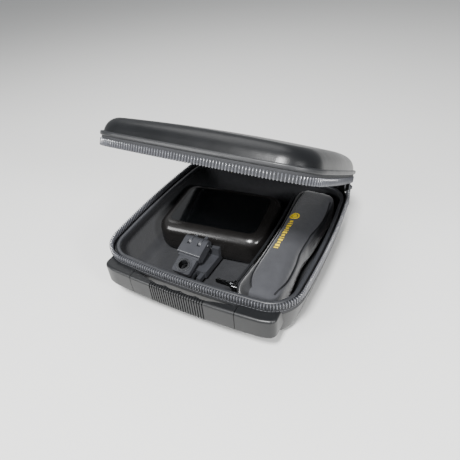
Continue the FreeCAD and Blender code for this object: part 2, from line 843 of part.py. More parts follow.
def make_controls():
    """The power button, which slides in its hole, and the rubber flap over the charging socket."""
    wall_y = monitor_depth / 2
    flange_y = wall_y - monitor_wall - 0.3
    cap = cylinder(button_radius, V(button_x, flange_y, control_z), V(button_x, wall_y + button_proud, control_z))
    crown = [e for e in cap.Edges if e.BoundBox.YMin > wall_y + button_proud - 1e-3]
    cap = cap.makeFillet(0.6, crown)
    flange = cylinder(button_radius + 0.9, V(button_x, flange_y - button_flange, control_z),
                      V(button_x, flange_y, control_z))
    button = cap.fuse(flange).removeSplitter()

    inner_y = wall_y + 0.12
    hinge_at = control_z + cover_height / 2
    half = cover_thickness / 2
    axis_y = inner_y + half
    flap = box((port_x - cover_width / 2, port_x + cover_width / 2), (inner_y, inner_y + cover_thickness),
               (control_z - cover_height / 2, hinge_at))
    low_corners = [e for e in flap.Edges if e.BoundBox.YLength > half and e.BoundBox.ZMax < control_z]
    flap = flap.makeFillet(2.0, low_corners)
    roll = cylinder(half, V(port_x - cover_width / 2, axis_y, hinge_at), V(port_x + cover_width / 2, axis_y, hinge_at))
    return {"power_button": button, "port_cover": flap.fuse(roll).removeSplitter()}


# ---------------------------------------------------------------- tripod arm


def pivot_point():
    """The arm's pin centre, in the monitor's own frame."""
    return V(arm_x, -monitor_depth / 2 - arm_pivot_out, arm_pivot_z)


def lay_arm(shape):
    """From the level arm to its resting slope, about the pin."""
    placed = shape.copy()
    placed.rotate(pivot_point(), V(1, 0, 0), arm_slope_deg)
    return placed


def turn_stand(shape):
    """Turns a stand piece about the middle of the monitor's edge."""
    placed = shape.copy()
    placed.rotate(V(arm_x, -monitor_depth / 2, 0), V(0, 0, 1), arm_yaw_deg)
    return placed


def arm_box(width, reach, level):
    """A box in the level arm: centred width, reach out from the pin, level above the pin."""
    p = pivot_point()
    return box((p.x - width / 2, p.x + width / 2), (p.y - reach[1], p.y - reach[0]),
               (p.z + level[0], p.z + level[1]))


def make_stand():
    p = pivot_point()
    face_y = -monitor_depth / 2
    half_width = bracket_width / 2
    foot_x = arm_x + foot_offset
    plate = box((arm_x - half_width, foot_x + foot_width / 2), (face_y - bracket_plate, face_y + 6.0),
                (bracket_low_z, bracket_high_z))
    foot = box((foot_x - foot_width / 2, foot_x + foot_width / 2), (face_y - foot_length, face_y + 6.0),
               (bracket_low_z, bracket_low_z + foot_thickness))
    tip_y = face_y - foot_length
    foot = foot.makeFillet(2.4, [e for e in foot.Edges if is_upright(e) and e.BoundBox.YMax < tip_y + 1])
    bracket = plate.fuse(foot)
    for side in (-1, 1):
        x = foot_x + side * prong_spacing / 2
        prong = box((x - prong_width / 2, x + prong_width / 2),
                    (tip_y - prong_length, tip_y + 1),
                    (bracket_low_z + 1, bracket_low_z + foot_thickness - 1.5))
        lug_x = arm_x + side * lug_offset
        lug = cylinder(lug_radius, V(lug_x - lug_thickness / 2, p.y, p.z), V(lug_x + lug_thickness / 2, p.y, p.z))
        neck = box((lug_x - lug_thickness / 2, lug_x + lug_thickness / 2), (p.y - lug_radius * 0.5, face_y + 6),
                   (bracket_high_z - 8, p.z + 2))
        bracket = bracket.fuse([prong, lug, neck])
    bracket = bracket.cut(cylinder(pin_radius, V(arm_x - 50, p.y, p.z), V(arm_x + 50, p.y, p.z)))
    screws = []
    for side in (-1, 1):
        x = arm_x + side * (half_width - 3.6)
        z = bracket_screw_z
        head = cylinder(2.6, V(x, face_y - bracket_plate - 1.4, z), V(x, face_y - bracket_plate, z))
        shank = cylinder(1.4, V(x, face_y - bracket_plate - 0.2, z), V(x, face_y + 1.8, z))
        screws.append(head.fuse(shank).removeSplitter())
    bracket = bracket.cut(Part.makeCompound(screws))
    bracket = turn_stand(bracket).cut(monitor_form(0)).removeSplitter()
    pin = cylinder(pin_radius, V(arm_x - arm_width / 2 - 0.6, p.y, p.z), V(arm_x + arm_width / 2 + 0.6, p.y, p.z))

    half_t = arm_thickness / 2
    block = arm_box(arm_width, (0, arm_reach), (-half_t, half_t))
    nose = [e for e in block.Edges if e.BoundBox.XLength > arm_width / 2 and e.BoundBox.YMax < p.y - arm_reach + 1e-3
            and e.BoundBox.ZMin > p.z]
    block = block.makeFillet(1.8, nose)
    barrel = cylinder(half_t, V(p.x - arm_width / 2, p.y, p.z), V(p.x + arm_width / 2, p.y, p.z))
    lip = arm_box(arm_width - 2.4, (arm_reach - 1, arm_reach + 2.0), (-half_t + 0.8, half_t - 3.2))
    arm = block.fuse([barrel, lip])
    for side in (-1, 1):
        slot_w = lug_thickness + 2 * knuckle_gap
        lug_x = side * lug_offset
        slot = moved(arm_box(slot_w, (-half_t - 1, lug_radius + 0.6), (-half_t - 1, half_t + 1)), V(lug_x, 0, 0))
        arm = arm.cut(slot)
    slot_w = tongue_plate_width + 2 * slot_clearance
    slot_t = tongue_plate_thickness / 2 + slot_clearance
    arm = arm.cut(arm_box(slot_w, (lug_radius + 1.0, arm_reach + 5), (-slot_t - 1.0, slot_t - 1.0)))
    arm = arm.cut(cylinder(pin_radius + pin_running_gap, V(p.x - 50, p.y, p.z), V(p.x + 50, p.y, p.z)))
    arm = lay_arm(arm.removeSplitter())

    root = lug_radius + 1.6
    plate_t = tongue_plate_thickness / 2
    tongue = arm_box(tongue_plate_width, (root, tongue_tip), (-plate_t - 1.0, plate_t - 1.0))
    tip = [e for e in tongue.Edges if is_upright(e) and e.BoundBox.YMax < p.y - tongue_tip + 1e-3]
    tongue = tongue.makeFillet(2.5, tip)
    hole_at = V(p.x, p.y - thread_centre, p.z - 1.0)
    up = V(0, 0, thread_length / 2)
    boss_up = V(0, 0, plate_t + 0.9)
    boss = cylinder(thread_radius + bush_wall + 1.2, hole_at - boss_up, hole_at + boss_up)
    bush = cylinder(thread_radius + bush_wall, hole_at - up, hole_at + up)
    bore = cylinder(thread_radius, hole_at - up * 2, hole_at + up * 2)
    tongue = tongue.fuse(boss).cut(bush).removeSplitter()
    return {
        "stand_bracket": bracket,
        "bracket_screws": turn_stand(Part.makeCompound(screws)),
        "stand_pin": turn_stand(pin),
        "stand_arm": turn_stand(arm),
        "tripod_tongue": turn_stand(lay_arm(tongue)),
        "thread_bush": turn_stand(lay_arm(bush.cut(bore))),
    }


def clear_case_for_screws(parts):
    """Holes in the monitor's front edge for the bracket's screws."""
    for name in ("monitor_rear_case", "monitor_front_case"):
        parts[name] = parts[name].cut(parts["bracket_screws"])


# ---------------------------------------------------------------- accessory pouch


def pouch_outline(inset, z):
    """The pouch's plan: a long soft box, waisted on both long sides by arcs that meet its corners."""
    middle = V((pouch_left + pouch_right) / 2, (pouch_front + pouch_back) / 2, z)
    half_w = (pouch_right - pouch_left) / 2
    half_l = (pouch_back - pouch_front) / 2
    corner = V(half_w - pouch_end_radius, half_l - pouch_end_radius, 0)
    reach = pouch_end_radius - pouch_waist
    side_radius = (reach**2 + corner.y**2 - pouch_end_radius**2) / (2 * pouch_waist)
    side = V(half_w - pouch_waist + side_radius, 0, 0)
    r = pouch_end_radius - inset
    on_side = corner + (side - corner).normalize() * r
    on_corner = corner + ((side - corner).normalize() + V(0, 1, 0)).normalize() * r
    on_end = corner + V(0, r, 0)
    waist = V(half_w - pouch_waist - inset, 0, 0)

    def at(point, sx, sy):
        return middle + V(point.x * sx, point.y * sy, 0)

    edges = []
    for sx, sy in ((1, 1), (-1, -1)):
        edges.append(Part.Arc(at(on_side, sx, -sy), at(waist, sx, 1), at(on_side, sx, sy)).toShape())
        edges.append(Part.Arc(at(on_side, sx, sy), at(on_corner, sx, sy), at(on_end, sx, sy)).toShape())
        edges.append(Part.LineSegment(at(on_end, sx, sy), at(on_end, -sx, sy)).toShape())
        edges.append(Part.Arc(at(on_end, -sx, sy), at(on_corner, -sx, sy), at(on_side, -sx, sy)).toShape())
    return Part.Wire(edges)


def tray_room(gap):
    """The room in the tray that a piece can be lifted from, clear of the lining and the rim's binding."""
    room = place_tray(half_form(tray_depth, tray_draft, tray_edge_radius, tray_land, cavity_inset + gap))
    mouth_inset = binding_inset + binding_width + gap
    above = slab(mouth_inset, tray_depth - 1, parting_z * 2)
    return room.common(slab(mouth_inset, 0, tray_depth)).fuse(above)


def make_pouch(keep_off):
    top = floor_z + pouch_height
    low = floor_z + loose_gap
    body = Part.Face(pouch_outline(0, low)).extrude(V(0, 0, top - low))
    body = body.makeFillet(pouch_edge_radius, edges_at(body, low))
    body = body.makeFillet(pouch_edge_radius * 0.8, edges_at(body, top))
    body = body.common(tray_room(loose_gap * 2))
    for solid in keep_off.Solids:
        b = solid.BoundBox
        body = body.cut(box((b.XMin - 0.4, b.XMax + 0.4), (b.YMin - 0.4, b.YMax + 0.4), (b.ZMin - 0.4, b.ZMax + 0.4)))
    chain_low = pouch_zip_z - pouch_zip_height / 2
    left_side = box((pouch_left - 10, (pouch_left + pouch_right) / 2 - pouch_end_radius * 0.55),
                    (pouch_front + pouch_end_radius, pouch_back - pouch_end_radius), (0, top))
    band = moved(Part.Face(pouch_outline(-pouch_zip_width, 0)).extrude(V(0, 0, pouch_zip_height)), V(0, 0, chain_low))
    chain = band.common(left_side).cut(body)
    at = V(pouch_left - 1.6, pouch_front + pouch_slider_in, pouch_zip_z)
    plate = box((at.x - 0.4, pouch_left + 3.2), (at.y - 4.0, at.y + 4.0), (at.z - 3.2, at.z + 3.2))
    plate = plate.makeFillet(0.9, [e for e in plate.Edges if e.BoundBox.XLength > 3])
    plate = plate.cut(body).cut(chain)
    axis_x = at.x - 2.4
    bar = cylinder(bar_radius, V(axis_x, at.y, at.z - 3.0), V(axis_x, at.y, at.z + 3.0))
    slider = plate.fuse(bar)
    for side in (-1, 1):
        foot = box((axis_x - bar_radius, at.x), (at.y - bar_radius, at.y + bar_radius),
                   sorted((at.z + side * 2.9, at.z + side * 3.9)))
        slider = slider.fuse(foot)
    eye = bar_radius + pull_running_gap
    half = pouch_pull_thickness / 2
    tab_end = axis_x - pouch_pull_length
    tab = box((tab_end, axis_x - eye * 0.5), (at.y - half, at.y + half),
              (at.z - pouch_pull_width / 2, at.z + pouch_pull_width / 2))
    tab = tab.makeFillet(1.4, [e for e in tab.Edges if e.BoundBox.YLength > half and e.BoundBox.XMax < tab_end + 1])
    collar = cylinder(eye + 0.8, V(axis_x, at.y, at.z - pouch_pull_width / 2), V(axis_x, at.y, at.z + pouch_pull_width / 2))
    hole = cylinder(eye, V(axis_x, at.y, at.z - 10), V(axis_x, at.y, at.z + 10))
    pull = tab.fuse(collar).cut(hole).removeSplitter()
    return {
        "accessory_pouch": body,
        "pouch_zip": chain,
        "pouch_slider": slider.removeSplitter(),
        "pouch_pull": pull,
    }


# ---------------------------------------------------------------- build


def main():
    os.makedirs("parts", exist_ok=True)
    parts = make_tray()
    parts.update(make_lid())
    parts.update(make_sliders())
    parts.update(make_handle(parts))
    monitor = make_monitor_case()
    monitor.update(make_monitor_insides())
    monitor.update(make_controls())
    monitor.update(make_stand())
    clear_case_for_screws(monitor)
    parts.update({name: place_monitor(shape) for name, shape in monitor.items()})
    parts.update(make_pouch(parts["handle_rivets"]))
    for name, shape in parts.items():
        export(name, shape)


main()
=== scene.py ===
import math

import bpy
from mathutils import Matrix, Vector


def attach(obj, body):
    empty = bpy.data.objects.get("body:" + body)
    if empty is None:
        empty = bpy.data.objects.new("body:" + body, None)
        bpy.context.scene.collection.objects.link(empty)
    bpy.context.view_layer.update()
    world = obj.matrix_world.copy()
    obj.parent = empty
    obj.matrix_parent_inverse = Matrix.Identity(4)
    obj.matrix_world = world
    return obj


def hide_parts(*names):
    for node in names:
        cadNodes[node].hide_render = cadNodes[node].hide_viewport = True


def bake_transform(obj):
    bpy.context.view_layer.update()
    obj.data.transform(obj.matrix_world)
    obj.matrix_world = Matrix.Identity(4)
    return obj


# The looks of a launch monitor in its zip-up carry case, with its folding tripod arm and a neoprene pouch.
# Everything is in metres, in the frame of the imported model.

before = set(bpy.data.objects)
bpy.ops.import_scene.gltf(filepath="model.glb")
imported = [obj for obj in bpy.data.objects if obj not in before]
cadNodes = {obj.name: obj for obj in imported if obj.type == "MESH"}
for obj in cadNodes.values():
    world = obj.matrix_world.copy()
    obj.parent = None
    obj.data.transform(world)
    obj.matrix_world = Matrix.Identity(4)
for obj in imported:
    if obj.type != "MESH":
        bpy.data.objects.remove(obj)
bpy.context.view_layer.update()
mm = 0.001
print("frame loaded:", len(cadNodes), "CAD nodes")

# what the pieces share with the case: its outline at the zip, the zip line and the lid's turning line
case = {
    "half": 100 * mm,
    "sideRadius": 900 * mm,
    "cornerRadius": 31 * mm,
    "partingHeight": 50 * mm,
    "hingeY": 101.3 * mm,
    "lidOpen": math.radians(29.2),
}


# ---- small helpers


def selectOnly(piece):
    bpy.ops.object.select_all(action="DESELECT")
    piece.select_set(True)
    bpy.context.view_layer.objects.active = piece


def applyAll(piece):
    # bakes the place and every modifier into the mesh
    selectOnly(piece)
    bpy.ops.object.transform_apply(location=True, rotation=True, scale=True)
    for modifier in list(piece.modifiers):
        bpy.ops.object.modifier_apply(modifier=modifier.name)


def newest(name):
    piece = bpy.context.view_layer.objects.active
    piece.name = piece.data.name = name
    return piece


def addModifier(piece, kind, **settings):
    modifier = piece.modifiers.new(kind.title(), kind)
    for key, value in settings.items():
        setattr(modifier, key, value)
    return modifier


def editSelected(piece, kind, test, work):
    # selects the edges or faces that pass the test, then works on them in edit mode
    selectOnly(piece)
    bpy.ops.object.mode_set(mode="EDIT")
    bpy.ops.mesh.select_mode(type=kind)
    bpy.ops.mesh.select_all(action="DESELECT")
    bpy.ops.object.mode_set(mode="OBJECT")
    if kind == "EDGE":
        for edge in piece.data.edges:
            a, b = (piece.data.vertices[i].co for i in edge.vertices)
            edge.select = bool(test(a, b))
    else:
        for face in piece.data.polygons:
            face.select = bool(test(face))
    bpy.ops.object.mode_set(mode="EDIT")
    work()
    bpy.ops.object.mode_set(mode="OBJECT")


def smoothByAngle(piece, degrees=40):
    selectOnly(piece)
    bpy.ops.object.shade_smooth_by_angle(angle=math.radians(degrees))


def outlinePoints(inset, spacing=1.5 * mm, backStop=None):
    # the case's bowed outline, from the back right corner round the front to the back left one
    half, side, corner = case["half"], case["sideRadius"], case["cornerRadius"]
    away = half - side
    reach = side - corner
    span = math.hypot(away, away)
    rise = math.sqrt(reach**2 - (span / 2) ** 2)
    c = away / 2 + rise * abs(away) / span
    sideStart = math.degrees(math.atan2(c, c - away))
    arcs = [
        ((away, 0), side, sideStart, -sideStart),
        ((c, -c), corner, -sideStart, sideStart - 90),
        ((0, -away), side, sideStart - 90, -90 - sideStart),
        ((-c, -c), corner, -90 - sideStart, sideStart - 180),
        ((-away, 0), side, sideStart - 180, -180 - sideStart),
    ]
    if backStop is None:
        arcs += [
            ((-c, c), corner, -180 - sideStart, sideStart - 270),
            ((0, away), side, sideStart - 270, -270 - sideStart),
            ((c, c), corner, -270 - sideStart, sideStart - 360),
        ]
    else:
        arcs.insert(0, ((c, c), corner, 90 - sideStart, sideStart))
        arcs.append(((-c, c), corner, -180 - sideStart, sideStart - 270))
    points = []
    for (x, y), radius, start, end in arcs:
        radius -= inset
        count = max(2, round(abs(math.radians(end - start)) * radius / spacing))
        for step in range(count):
            a = math.radians(start + (end - start) * step / count)
            points.append(Vector((x + radius * math.cos(a), y + radius * math.sin(a), 0)))
    if backStop is not None:
        points = [p for p in points if p.y < backStop]
    return points


def hingeAxis():
    return Vector((0, case["hingeY"], case["partingHeight"]))


def lidTurn(share=1):
    # the turn about the hinge line from the closed lid to its place at rest, or a share of that turn
    axis = hingeAxis()
    turn = Matrix.Rotation(case["lidOpen"] * share, 4, (-1, 0, 0))
    return Matrix.Translation(axis) @ turn @ Matrix.Translation(-axis)


def swingLid(piece):
    # turns a piece made at the closed lid to the lid's place at rest
    piece.data.transform(lidTurn())
    piece.data.update()


def faceOutward(piece):
    selectOnly(piece)
    bpy.ops.object.mode_set(mode="EDIT")
    bpy.ops.mesh.select_all(action="SELECT")
    bpy.ops.mesh.normals_make_consistent(inside=False)
    bpy.ops.object.mode_set(mode="OBJECT")


def dress(piece, material, body=None, stands=()):
    # gives a made piece its finish, its body and the CAD nodes that it stands for
    piece.data.materials.clear()
    piece.data.materials.append(material)
    if body:
        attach(piece, body)
    if stands:
        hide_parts(*stands)
    return piece


# ---- materials


def linear(hexColour):
    # an sRGB hex colour as linear RGBA
    values = [int(hexColour[i : i + 2], 16) / 255 for i in (1, 3, 5)]
    return [v / 12.92 if v <= 0.04045 else ((v + 0.055) / 1.055) ** 2.4 for v in values] + [1.0]


def addNode(tree, kind, inputs=None, **settings):
    node = tree.nodes.new(kind)
    for key, value in settings.items():
        setattr(node, key, value)
    for key, value in (inputs or {}).items():
        if isinstance(value, bpy.types.NodeSocket):
            tree.links.new(value, node.inputs[key])
        else:
            node.inputs[key].default_value = value
    return node


def startMaterial(name, colour, **sockets):
    # a Principled material, with the values that are the same all over set on its own sockets
    material = bpy.data.materials.new(name)
    material.use_nodes = True
    tree = material.node_tree
    shader = tree.nodes["Principled BSDF"]
    shader.inputs["Base Color"].default_value = linear(colour)
    for key, value in sockets.items():
        shader.inputs[key.replace("_", " ")].default_value = value
    place = addNode(tree, "ShaderNodeTexCoord").outputs["Object"]
    return material, tree, shader, place


def mixedColour(tree, shader, amount, first, second):
    mix = addNode(tree, "ShaderNodeMix", {0: amount, 6: linear(first), 7: linear(second)}, data_type="RGBA")
    tree.links.new(mix.outputs[2], shader.inputs["Base Color"])


def roughnessFrom(tree, shader, amount, low, high):
    spread = addNode(tree, "ShaderNodeMapRange", {"Value": amount, "To Min": low, "To Max": high})
    tree.links.new(spread.outputs["Result"], shader.inputs["Roughness"])


def bumpFrom(tree, shader, height, depth, normal=None):
    # depth is in metres
    inputs = {"Height": height, "Distance": depth, "Strength": 1.0}
    if normal:
        inputs["Normal"] = normal
    bump = addNode(tree, "ShaderNodeBump", inputs)
    tree.links.new(bump.outputs["Normal"], shader.inputs["Normal"])
    return bump.outputs["Normal"]


def noise(tree, place, size, detail=2.0):
    # size is the width of one blotch, in metres
    inputs = {"Vector": place, "Scale": 1 / size, "Detail": detail}
    return addNode(tree, "ShaderNodeTexNoise", inputs).outputs["Fac"]


def cells(tree, place, size):
    # size is the width of one cell, in metres
    return addNode(tree, "ShaderNodeTexVoronoi", {"Vector": place, "Scale": 1 / size}).outputs["Distance"]


def puSkin():
    # EVA foam shell skinned with polyurethane: satin black, a faint fine pebble, soft wide highlights
    material, tree, shader, place = startMaterial("puSkinOnFoam", "#111214", IOR=1.48, Roughness=0.36)
    cloud = noise(tree, place, 22 * mm, 3)
    roughnessFrom(tree, shader, cloud, 0.29, 0.39)
    shader.inputs["Specular IOR Level"].default_value = 0.34
    mixedColour(tree, shader, cloud, "#08090a", "#101113")
    first = bumpFrom(tree, shader, cells(tree, place, 0.9 * mm), 0.02 * mm)
    bumpFrom(tree, shader, noise(tree, place, 14 * mm, 2), 0.18 * mm, first)
    return material


def knitLining():
    # brushed tricot laminated to the foam: near black, dull, fine loops
    material, tree, shader, place = startMaterial("brushedTricotLining", "#17181a", Roughness=0.92)
    shader.inputs["Sheen Weight"].default_value = 0.25
    shader.inputs["Sheen Roughness"].default_value = 0.5
    mixedColour(tree, shader, noise(tree, place, 6 * mm, 4), "#101114", "#212226")
    bumpFrom(tree, shader, cells(tree, place, 1.1 * mm), 0.12 * mm)
    return material


def wovenTape():
    # polyester zip tape: close twill ribs along the zip
    material, tree, shader, place = startMaterial("polyesterZipTape", "#1d1e21", Roughness=0.78)
    waves = {"Vector": place, "Scale": 0.5 / (1.2 * mm), "Distortion": 0.6}
    ribs = addNode(tree, "ShaderNodeTexWave", waves, bands_direction="Z").outputs["Fac"]
    mixedColour(tree, shader, ribs, "#141517", "#27282b")
    bumpFrom(tree, shader, ribs, 0.1 * mm)
    return material


def nylonCoil():
    # polyester monofilament coil: dark, smooth and glossy, so each loop catches the light
    material, tree, shader, place = startMaterial("polyesterZipCoil", "#85868b", Roughness=0.22, IOR=1.57)
    shader.inputs["Coat Weight"].default_value = 0.5
    shader.inputs["Coat Roughness"].default_value = 0.12
    mixedColour(tree, shader, noise(tree, place, 3 * mm), "#3e3f43", "#5a5b60")
    return material


def vinylEdging(name, colour):
    # extruded PVC piping or bias edging: satin, slightly wavy from sewing
    material, tree, shader, place = startMaterial(name, colour, Roughness=0.42, IOR=1.53)
    bumpFrom(tree, shader, noise(tree, place, 5 * mm, 2), 0.12 * mm)
    roughnessFrom(tree, shader, noise(tree, place, 9 * mm, 2), 0.36, 0.5)
    return material


def handleRubber():
    # moulded thermoplastic rubber: eggshell, finely spark textured, a little polished where hands rub it
    material, tree, shader, place = startMaterial(
        "mouldedThermoplasticRubber", "#1d1e20", Roughness=0.4, IOR=1.52)
    roughnessFrom(tree, shader, noise(tree, place, 18 * mm, 3), 0.3, 0.46)
    shader.inputs["Specular IOR Level"].default_value = 0.38
    mixedColour(tree, shader, noise(tree, place, 30 * mm, 2), "#0d0e0f", "#161719")
    bumpFrom(tree, shader, noise(tree, place, 0.7 * mm, 2), 0.03 * mm)
    return material


def metal(name, colour, roughness, scratch=0.04):
    # plated or machined metal: the finish's own tint, with fine scuffs in the roughness
    material, tree, shader, place = startMaterial(name, colour, Metallic=1.0, Roughness=roughness)
    roughnessFrom(tree, shader, noise(tree, place, 2.5 * mm, 5), roughness - scratch, roughness + scratch)
    return material


def texturedPlastic(name, low, high, roughness, grain=0.5):
    # injection moulded plastic from a spark textured tool: an even fine grain, grain size in mm
    material, tree, shader, place = startMaterial(name, low, Roughness=roughness, IOR=1.54)
    mixedColour(tree, shader, noise(tree, place, 12 * mm, 3), low, high)
    roughnessFrom(tree, shader, noise(tree, place, 7 * mm, 3), roughness - 0.05, roughness + 0.06)
    bumpFrom(tree, shader, noise(tree, place, grain * mm, 2), 0.02 * mm)
    return material


def acrylicWindow():
    # hard-coated acrylic over a black printed back: piano gloss with a hint of smears
    material, tree, shader, place = startMaterial("hardCoatedAcrylic", "#060708", Roughness=0.09, IOR=1.49)
    shader.inputs["Coat Weight"].default_value = 0.6
    shader.inputs["Coat Roughness"].default_value = 0.04
    roughnessFrom(tree, shader, noise(tree, place, 16 * mm, 4), 0.06, 0.16)
    return material


def glassFibreBoard():
    # green solder resist over woven glass board
    material, tree, shader, place = startMaterial("solderResistBoard", "#14462c", Roughness=0.35, IOR=1.5)
    weave = addNode(tree, "ShaderNodeTexBrick", {"Vector": place, "Scale": 1 / (6 * mm)}).outputs["Fac"]
    mixedColour(tree, shader, weave, "#14462c", "#1d5f3c")
    return material


def neoprene(name, low, high):
    # neoprene with a nylon jersey face: dark grey, soft, fine ribs of knit and a slight sheen at the edges
    material, tree, shader, place = startMaterial(name, low, Roughness=0.86)
    shader.inputs["Sheen Weight"].default_value = 0.45
    shader.inputs["Sheen Roughness"].default_value = 0.4
    turned = addNode(tree, "ShaderNodeMapping", {"Vector": place, "Rotation": (0, 0, math.radians(8))})
    waves = {"Vector": turned.outputs["Vector"], "Scale": 0.5 / (1.0 * mm), "Distortion": 1.5, "Detail": 1.0}
    ribs = addNode(tree, "ShaderNodeTexWave", waves, bands_direction="X").outputs["Fac"]
    mixedColour(tree, shader, noise(tree, place, 9 * mm, 4), low, high)
    first = bumpFrom(tree, shader, ribs, 0.05 * mm)
    bumpFrom(tree, shader, noise(tree, place, 10 * mm, 3), 0.3 * mm, first)
    return material


def screenInk():
    # plastisol print: opaque, slightly rubbery yellow
    material, tree, shader, place = startMaterial("plastisolInk", "#e3c30c", Roughness=0.5)
    mixedColour(tree, shader, noise(tree, place, 3 * mm, 3), "#d8b808", "#efd01a")
    return material


finish = {
    "skin": puSkin(),
    "lining": knitLining(),
    "tape": wovenTape(),
    "coil": nylonCoil(),
    "edging": vinylEdging("pvcPiping", "#17181a"),
    "binding": vinylEdging("vinylBiasBinding", "#2c2d30"),
    "handle": handleRubber(),
    "zinc": metal("blackNickelZinc", "#4c4d50", 0.34),
    "nickel": metal("brightNickel", "#cfd0d2", 0.18),
    "steel": metal("zincPlatedSteel", "#9b9da0", 0.3),
    "bush": metal("turnedSteel", "#8c8d90", 0.26),
    "copper": metal("etchedCopper", "#b87343", 0.4),
    "abs": texturedPlastic("satinAbs", "#100f0f", "#191817", 0.24, 3.0),
    "nylon": texturedPlastic("glassFilledNylon", "#2c2d30", "#393a3e", 0.34, 0.8),
    "silicone": texturedPlastic("mouldedSilicone", "#232427", "#2b2c30", 0.62, 1.2),
    "window": acrylicWindow(),
    "board": glassFibreBoard(),
    "cell": texturedPlastic("shrinkWrappedCell", "#38414d", "#434d5a", 0.45, 2.0),
    "neoprene": neoprene("jerseyFacedNeoprene", "#26272b", "#36373b"),
    # a darker copy of the same jersey neoprene: painted shade for the pouch's sloping left strip, not another
    # fabric
    "stripPaintedShade": neoprene("neoprenePaintedShade", "#0f1012", "#18191c"),
    "ink": screenInk(),
    "thread": texturedPlastic("bondedNylonThread", "#3a3b3e", "#4a4b4f", 0.5, 0.6),
}

nodeFinish = {
    "skin": ["tray_shell", "lid_shell"],
    "lining": ["tray_lining", "lid_lining"],
    "tape": ["tray_zip_tape", "lid_zip_tape", "tray_hinge_fabric", "lid_hinge_fabric"],
    "coil": ["tray_zip_chain", "lid_zip_chain"],
    "edging": ["lid_piping", "pouch_zip"],
    "binding": ["tray_inner_binding", "lid_inner_binding"],
    "handle": ["handle_bracket_right", "handle_bracket_left", "handle_grip"],
    "zinc": ["zip_slider_right", "zip_slider_left", "zip_pull_right", "zip_pull_left"],
    "steel": ["handle_rivets", "case_screws", "bracket_screws", "stand_pin", "shield_can", "board_standoffs",
              "charging_socket"],
    "nickel": ["pouch_slider", "pouch_pull"],
    "bush": ["thread_bush"],
    "copper": ["antenna_patches"],
    "abs": ["monitor_rear_case", "monitor_front_case", "display_frame", "power_switch"],
    "silicone": ["monitor_seal", "power_button", "port_cover"],
    "nylon": ["stand_bracket", "stand_arm", "tripod_tongue"],
    "window": ["face_window", "display_module"],
    "board": ["main_board", "antenna_board"],
    "cell": ["battery_pack"],
    "neoprene": ["accessory_pouch"],
}
for key, names in nodeFinish.items():
    for name in names:
        node = cadNodes[name]
        if node.material_slots:
            for materialSlot in node.material_slots:
                materialSlot.material = finish[key]
        else:
            node.data.materials.append(finish[key])
print("materials made")

# ---- camera, floor and light

# place in mm, angles in degrees, lens in mm
cameraSet = {"place": (154.8, -281.2, 288.0), "azimuth": 29.97, "elevation": 38.79, "roll": -4.93,
             "lens": 31.06, "sensor": 36}


def makeCamera():
    azimuth, elevation, roll = (math.radians(cameraSet[k]) for k in ("azimuth", "elevation", "roll"))
    level = Vector((math.sin(azimuth), -math.cos(azimuth), 0))
    back = level * math.cos(elevation) + Vector((0, 0, math.sin(elevation)))
    right = Vector((math.cos(azimuth), math.sin(azimuth), 0))
    up = back.cross(right)
    across = right * math.cos(roll) + up * math.sin(roll)
    upward = up * math.cos(roll) - right * math.sin(roll)
    bpy.ops.object.camera_add()
    camera = newest("mainCamera")
    turn = Matrix((across, upward, back)).transposed().to_4x4()
    camera.matrix_world = Matrix.Translation(Vector(cameraSet["place"]) * mm) @ turn
    camera.data.sensor_width = cameraSet["sensor"]
    camera.data.lens = cameraSet["lens"]
    camera.data.clip_start = 0.01
    bpy.context.scene.camera = camera


def makeFloor():
    bpy.ops.mesh.primitive_plane_add(size=6, location=(0, 0, 0))
    floor = newest("studioFloor")
    material = startMaterial("matPaperSweep", "#d8d8d6", Roughness=0.85)[0]
    floor.data.materials.append(material)


lights = {
    # name: place, aim, size, watts
    "keyAboveFront": ((0.12, -0.547, 0.915), (0.07, -0.06, 0.15), 0.17, 24),
    "topSoft": ((-0.3, 0.35, 0.95), (0, 0, 0.05), 0.7, 5),
    "frontLeft": ((-0.55, -0.85, 0.55), (0, -0.05, 0.04), 0.4, 8),
    "frontRight": ((0.74, -0.347, 0.48), (0.02, -0.02, 0.03), 0.16, 6),
}


def makeLights():
    for name, (place, aim, size, watts) in lights.items():
        bpy.ops.object.light_add(type="AREA", location=place)
        light = newest(name)
        light.data.shape = "SQUARE"
        light.data.size = size
        light.data.energy = watts
        light.rotation_euler = (Vector(aim) - Vector(place)).to_track_quat("-Z", "Y").to_euler()
    world = bpy.data.worlds.new("softRoom")
    world.use_nodes = True
    world.node_tree.nodes["Background"].inputs["Color"].default_value = linear("#e9ebee")
    world.node_tree.nodes["Background"].inputs["Strength"].default_value = 0.5
    bpy.context.scene.world = world


makeCamera()
makeFloor()
makeLights()
print("camera, floor and lights placed")

# ---- pieces that run along the rim


def pathCurve(points):
    curveData = bpy.data.curves.new("rimPath", "CURVE")
    curveData.dimensions = "3D"
    line = curveData.splines.new("POLY")
    line.points.add(len(points) - 1)
    for point, at in zip(line.points, points):
        point.co = (at.x, at.y, 0, 1)
    curve = bpy.data.objects.new("rimPath", curveData)
    bpy.context.scene.collection.objects.link(curve)
    return curve


def runAlong(unit, points, pitch, height, width):
    # copies a unit modelled at the origin, lengthwise on X, along the rim
    length = sum((b - a).length for a, b in zip(points, points[1:]))
    count = int((length - width) / pitch)
    curve = pathCurve(points)
    unit.location = ((length - (count - 1) * pitch) / 2, 0, height)
    selectOnly(unit)
    bpy.ops.object.transform_apply(location=True)
    array = addModifier(unit, "ARRAY", count=count, use_relative_offset=False, use_constant_offset=True)
    array.constant_offset_displace = (pitch, 0, 0)
    addModifier(unit, "CURVE", object=curve, deform_axis="POS_X")
    applyAll(unit)
    bpy.data.objects.remove(curve)
    smoothByAngle(unit, 50)
    return unit


